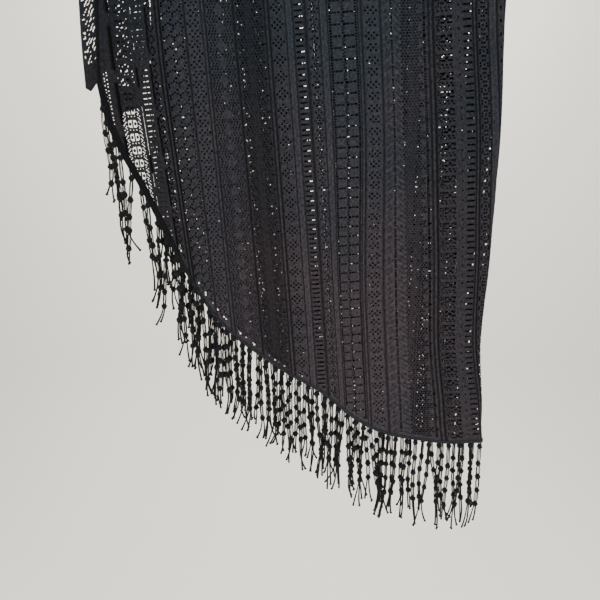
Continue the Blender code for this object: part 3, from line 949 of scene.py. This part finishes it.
def bump_node(tree, place_at, height, strength, distance):
    """Relief by a height, its strength and its depth in metres."""
    bump = add_node(tree, "ShaderNodeBump", place_at)
    bump.inputs["Strength"].default_value = strength
    bump.inputs["Distance"].default_value = distance
    tree.links.new(height, bump.inputs["Height"])
    return bump.outputs[0]


def new_material(name, roughness, specular, sheen, sheen_roughness):
    """A material with a matt shader, and its node tree and shader."""
    material = bpy.data.materials.new(name)
    material.use_nodes = True
    shader = material.node_tree.nodes["Principled BSDF"]
    shader.inputs["Roughness"].default_value = roughness
    shader.inputs["Specular IOR Level"].default_value = specular
    shader.inputs["Sheen Weight"].default_value = sheen
    shader.inputs["Sheen Roughness"].default_value = sheen_roughness
    return material, material.node_tree, shader


def stitch_uv(tree, left):
    """The UV place on the cloth, and its two numbers: stitches across and rows down."""
    uv = add_node(tree, "ShaderNodeUVMap", (left, 0), uv_map="Stitches")
    split = add_node(tree, "ShaderNodeSeparateXYZ", (left + 180, 0))
    tree.links.new(uv.outputs[0], split.inputs[0])
    return uv.outputs[0], split.outputs[0], split.outputs[1]


def knit_material(name, color, worn_and_lit_low, relief, strength):
    """Matt yarn in stitches: columns and rows of rounded loops as bump, with painted shade between the
    loops, and the corners' painted shade darkening the yarn and their painted highlight paling it.

    The colour goes from the main one to the paler warm one by soft patches of wear, by lint along the
    columns and by height, as a painted warm light low down.
    """
    material, tree, shader = new_material(name, 0.86, 0.09, 0.03, 0.45)
    shader.inputs["Sheen Tint"].default_value = (0.80, 0.85, 1.0, 1.0)
    uv, column, row = stitch_uv(tree, -1300)
    wave = math_node(tree, "SINE", (-760, 120), math_node(tree, "MULTIPLY", (-940, 120), column, 2 * pi))
    leg = math_node(tree, "ABSOLUTE", (-580, 120), wave)
    slant = math_node(tree, "MULTIPLY_ADD", (-940, -60), row, 2 * pi, 0.4)
    loop = math_node(tree, "SINE", (-580, -60), math_node(tree, "ADD", (-760, -60), slant, leg))
    height = math_node(tree, "MULTIPLY_ADD", (-400, 40), loop, 0.45, leg)
    tree.links.new(bump_node(tree, (-220, -160), height, strength, relief), shader.inputs["Normal"])
    place_of = add_node(tree, "ShaderNodeTexCoord", (-1300, 420)).outputs["Object"]
    patches = noise_node(tree, (-1100, 420), place_of, 6.5, 3.0)
    wales = add_node(tree, "ShaderNodeMapping", (-1290, 640))
    wales.inputs["Scale"].default_value = (1.0, 0.55, 1.0)
    tree.links.new(uv, wales.inputs["Vector"])
    lint = noise_node(tree, (-1100, 640), wales.outputs[0], 0.62, 2.0)
    where = add_node(tree, "ShaderNodeSeparateXYZ", (-1100, 840))
    tree.links.new(place_of, where.inputs[0])
    # Painted warm light low down: the colour moves towards the paler warm one with depth
    low = range_node(tree, (-920, 840), where.outputs[2], -0.40, -0.68, -0.10, 0.26)
    faded_and_lit = math_node(tree, "ADD", (-780, 700), patches, low)
    wear_lint_and_light = math_node(tree, "MULTIPLY_ADD", (-880, 520), lint, 0.3, faded_and_lit)
    yarn = ramp_node(tree, (-680, 520), wear_lint_and_light, color, worn_and_lit_low, 0.48, 0.98)
    # Painted shade between the loops: the yarn darker where the bump's height is low
    loops = ramp_node(tree, (-480, 260), height, (0.25, 0.25, 0.25), (1.0, 1.0, 1.0))
    yarn = multiply_node(tree, (-300, 420), yarn, loops, 0.5)
    grain = range_node(tree, (-480, 860), lint, 0.30, 0.70, 0.60, 1.40)
    yarn = multiply_node(tree, (-300, 860), yarn, grain)
    # The corners' painted shade darkens the yarn, and their painted highlight pales it
    sunk = add_node(tree, "ShaderNodeAttribute", (-480, 700), attribute_name="Sunk")
    dark = math_node(tree, "MULTIPLY_ADD", (-300, 700), sunk.outputs["Fac"], -1.25, 1.0)
    tree.links.new(multiply_node(tree, (-120, 560), yarn, dark), shader.inputs["Base Color"])
    return material


def cord_material(name, color):
    """Twisted cord: a slanted wave round the cord as bump, with matt black yarn that is darker in the
    twist's grooves and paler on its ridges, as painted shade.
    """
    material, tree, shader = new_material(name, 0.80, 0.10, 0.03, 0.5)
    _, around, along = stitch_uv(tree, -1100)
    twist = math_node(tree, "MULTIPLY_ADD", (-740, 0), around, 2.0, along)
    wave = math_node(tree, "SINE", (-380, 0), math_node(tree, "MULTIPLY", (-560, 0), twist, 2 * pi))
    tree.links.new(bump_node(tree, (-200, -160), wave, 0.7, 0.0004), shader.inputs["Normal"])
    dark, light = (tuple(c * share for c in color) for share in (0.55, 1.5))
    # Painted shade along the twist: darker in its grooves, paler on its ridges
    yarn_twist_shade = ramp_node(tree, (-200, 160), wave, dark, light)
    tree.links.new(yarn_twist_shade, shader.inputs["Base Color"])
    return material


def find_material(name, make, *values):
    """The material of that name, made once."""
    return bpy.data.materials.get(name) or make(name, *values)


def lace_material():
    """The lace's yarn."""
    colors = bpy.context.scene.sarong_colors
    return find_material(
        "lace_yarn", knit_material, tuple(colors.knit), tuple(colors.knit_worn_and_lit), 0.0005, 0.55)


def band_material():
    """The bands' close knit; its second colour, for patches of wear and for the painted warm light low
    down, is a quarter paler.
    """
    color = tuple(bpy.context.scene.sarong_colors.band)
    return find_material("band_knit", knit_material, color, tuple(c * 1.25 for c in color), 0.0005, 0.6)


def fringe_material():
    """The fringe's cord."""
    return find_material("fringe_yarn", cord_material, tuple(bpy.context.scene.sarong_colors.cord))


def stripes_width(stripes):
    """The width of stripes side by side, in metres."""
    return sum(stripe.width for stripe in stripes) / 1000.0


class SARONG_OT_lace(bpy.types.Operator):
    """Make the lace cloth in its four parts"""

    bl_idname = "sarong.lace"
    bl_label = "Lace cloth"

    def execute(self, context):
        sizes = context.scene.sarong_sizes
        material = lace_material()
        outline, _ = whole_outline(3)
        edge = outline + inward_of(outline) * HEM_LAP
        edge[[0, -1], 1] = WAIST_DEPTH - WAIST_LAP
        start = LACE_START
        for number, (name, part) in enumerate(LACE_PARTS.items()):
            piece = make_lace(name, part.stripes, start, sizes, edge, material, sizes.seed + number)
            start += stripes_width(part.stripes)
            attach(piece, "root")
            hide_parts(*part.nodes)
        return {"FINISHED"}


class SARONG_OT_bands(bpy.types.Operator):
    """Make the hem band and the waistband"""

    bl_idname = "sarong.bands"
    bl_label = "Hem band and waistband"

    def execute(self, context):
        sizes = context.scene.sarong_sizes
        hem = make_hem_band(sizes, band_material())
        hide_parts("hem_band_front", "hem_band_back")
        waist = make_waistband(sizes, band_material())
        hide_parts("waistband_front", "waistband_back")
        for piece in (hem, waist):
            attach(piece, "root")
        return {"FINISHED"}


class SARONG_OT_fringe(bpy.types.Operator):
    """Make the knotted fringe of both halves"""

    bl_idname = "sarong.fringe"
    bl_label = "Fringe"

    def execute(self, context):
        sizes = context.scene.sarong_sizes
        for name, row in FRINGES.items():
            piece = make_fringe(name + "_cords", row, sizes, fringe_material())
            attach(piece, "root")
            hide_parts(name)
        return {"FINISHED"}


class SARONG_OT_ties(bpy.types.Operator):
    """Make the two waist ties"""

    bl_idname = "sarong.ties"
    bl_label = "Ties"

    def execute(self, context):
        for name, row in TIES.items():
            piece, flat, area = make_tie(name, row, context.scene.sarong_sizes, lace_material())
            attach(piece, "root")
            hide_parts(name)
        return {"FINISHED"}


class SARONG_OT_declare(bpy.types.Operator):
    """Work out the flat span across the cloth of each lace part, and keep nothing"""

    bl_idname = "sarong.declare"
    bl_label = "Flat sizes"

    def execute(self, context):
        outline, _ = whole_outline(3)
        cuts = np.cumsum([LACE_START] + [stripes_width(part.stripes) for part in LACE_PARTS.values()])
        for (name, part), low, high in zip(LACE_PARTS.items(), cuts, cuts[1:]):
            low = max(low, outline[0, 0] - SHEET_MARGIN)
            high = min(high, outline[-1, 0] + SHEET_MARGIN)
        return {"FINISHED"}


class SARONG_OT_stage(bpy.types.Operator):
    """Set up the backdrop, the lights and the camera"""

    bl_idname = "sarong.stage"
    bl_label = "Stage"

    def execute(self, context):
        make_backdrop(tuple(context.scene.sarong_colors.backdrop))
        make_lights()
        make_camera()
        return {"FINISHED"}


def make_backdrop(color):
    """A pale floor that curves up into a wall: a straight run, a quarter circle and a straight run."""
    floor, wall, radius, wide, front, top = -1.95, 1.75, 0.6, 26.0, -24.0, 9.0
    bend = np.linspace(0.0, pi / 2, 25)
    y = np.concatenate(([front], wall - radius + radius * np.sin(bend), [wall]))
    z = np.concatenate(([floor], floor + radius - radius * np.cos(bend), [top]))
    x = np.array((-wide, wide))[:, None]
    points = np.stack(np.broadcast_arrays(x, y[None], z[None]), axis=-1).reshape(-1, 3)
    material, tree, shader = new_material("backdrop_paint", 0.9, 0.2, 0.0, 0.5)
    where = add_node(tree, "ShaderNodeTexCoord", (-700, 0))
    noise = noise_node(tree, (-520, 0), where.outputs["Object"], 0.9, 2.0)
    paint = ramp_node(tree, (-320, 0), noise, tuple(c * 0.97 for c in color), color)
    tree.links.new(paint, shader.inputs["Base Color"])
    make_mesh("backdrop", points, [grid_faces(2, len(y))], points[:, :2], material)


LightRow = namedtuple("LightRow", "name place aim size power color")
LIGHTS = (
    LightRow("key", (-1.5, -1.9, 0.7), (0.0, 0.0, -0.65), 1.8, 58.0, (0.90, 0.95, 1.0)),
    LightRow("side", (1.9, -1.2, 0.2), (0.0, 0.0, -0.6), 1.6, 40.0, (0.88, 0.94, 1.0)),
    LightRow("low", (0.1, -1.7, -1.6), (0.0, 0.0, -0.8), 1.0, 26.0, (1.0, 0.84, 0.74)),
    LightRow("wall", (0.0, 0.6, 1.2), (0.0, 1.7, -0.6), 1.8, 60.0, (1.0, 0.98, 0.94)),
    LightRow("behind", (0.6, 1.3, 1.4), (0.0, 0.0, -0.5), 1.4, 20.0, (1.0, 0.98, 0.95)),
)


def turn_towards(place_at, aim):
    """Rotation that points an object's -Z from one place to another, with its top up."""
    return (Vector(aim) - Vector(place_at)).to_track_quat("-Z", "Y").to_euler()


def make_lights():
    """Soft square lights and a pale surround."""
    for row in LIGHTS:
        light = bpy.data.lights.new(row.name, "AREA")
        light.energy = row.power
        light.size = row.size
        light.color = row.color
        lamp = bpy.data.objects.new(row.name, light)
        lamp.location = row.place
        lamp.visible_camera = False
        lamp.rotation_euler = turn_towards(row.place, row.aim)
        bpy.context.scene.collection.objects.link(lamp)
    world = bpy.data.worlds.new("studio")
    world.use_nodes = True
    background = world.node_tree.nodes["Background"]
    background.inputs["Color"].default_value = (0.92, 0.93, 0.95, 1.0)
    background.inputs["Strength"].default_value = 0.45
    bpy.context.scene.world = world


def make_camera():
    """The camera at the photograph's viewing angle."""
    data = bpy.data.cameras.new("camera")
    data.lens = CAMERA_LENS
    data.sensor_width = 36.0
    data.clip_start = 0.01
    camera = bpy.data.objects.new("camera", data)
    camera.location = CAMERA_PLACE
    camera.rotation_euler = (radians(CAMERA_TILT), 0.0, 0.0)
    bpy.context.scene.collection.objects.link(camera)
    bpy.context.scene.camera = camera


class SARONG_PT_panel(bpy.types.Panel):
    """The steps that build the sarong"""

    bl_idname = "SARONG_PT_panel"
    bl_label = "Sarong"
    bl_space_type = "VIEW_3D"
    bl_region_type = "UI"
    bl_category = "Sarong"

    def draw(self, context):
        layout = self.layout
        for group in (context.scene.sarong_sizes, context.scene.sarong_colors):
            for name in group.__annotations__:
                layout.prop(group, name)
        for operator in OPERATORS:
            layout.operator(operator.bl_idname)


GROUPS = (SarongSizes, SarongColors)
OPERATORS = (
    SARONG_OT_lace,
    SARONG_OT_bands,
    SARONG_OT_fringe,
    SARONG_OT_ties,
    SARONG_OT_declare,
    SARONG_OT_stage,
)


def register():
    """Register the add-on's classes and scene settings."""
    for cls in (*GROUPS, *OPERATORS, SARONG_PT_panel):
        bpy.utils.register_class(cls)
    bpy.types.Scene.sarong_sizes = PointerProperty(type=SarongSizes)
    bpy.types.Scene.sarong_colors = PointerProperty(type=SarongColors)


def unregister():
    """Remove what register added, in reverse."""
    del bpy.types.Scene.sarong_colors
    del bpy.types.Scene.sarong_sizes
    for cls in reversed((*GROUPS, *OPERATORS, SARONG_PT_panel)):
        bpy.utils.unregister_class(cls)


def main():
    """Build everything through the operators."""
    register()
    bpy.ops.sarong.lace()
    bpy.ops.sarong.bands()
    bpy.ops.sarong.fringe()
    bpy.ops.sarong.ties()
    bpy.ops.sarong.declare()
    bpy.ops.sarong.stage()


if __name__ == "__main__":
    main()
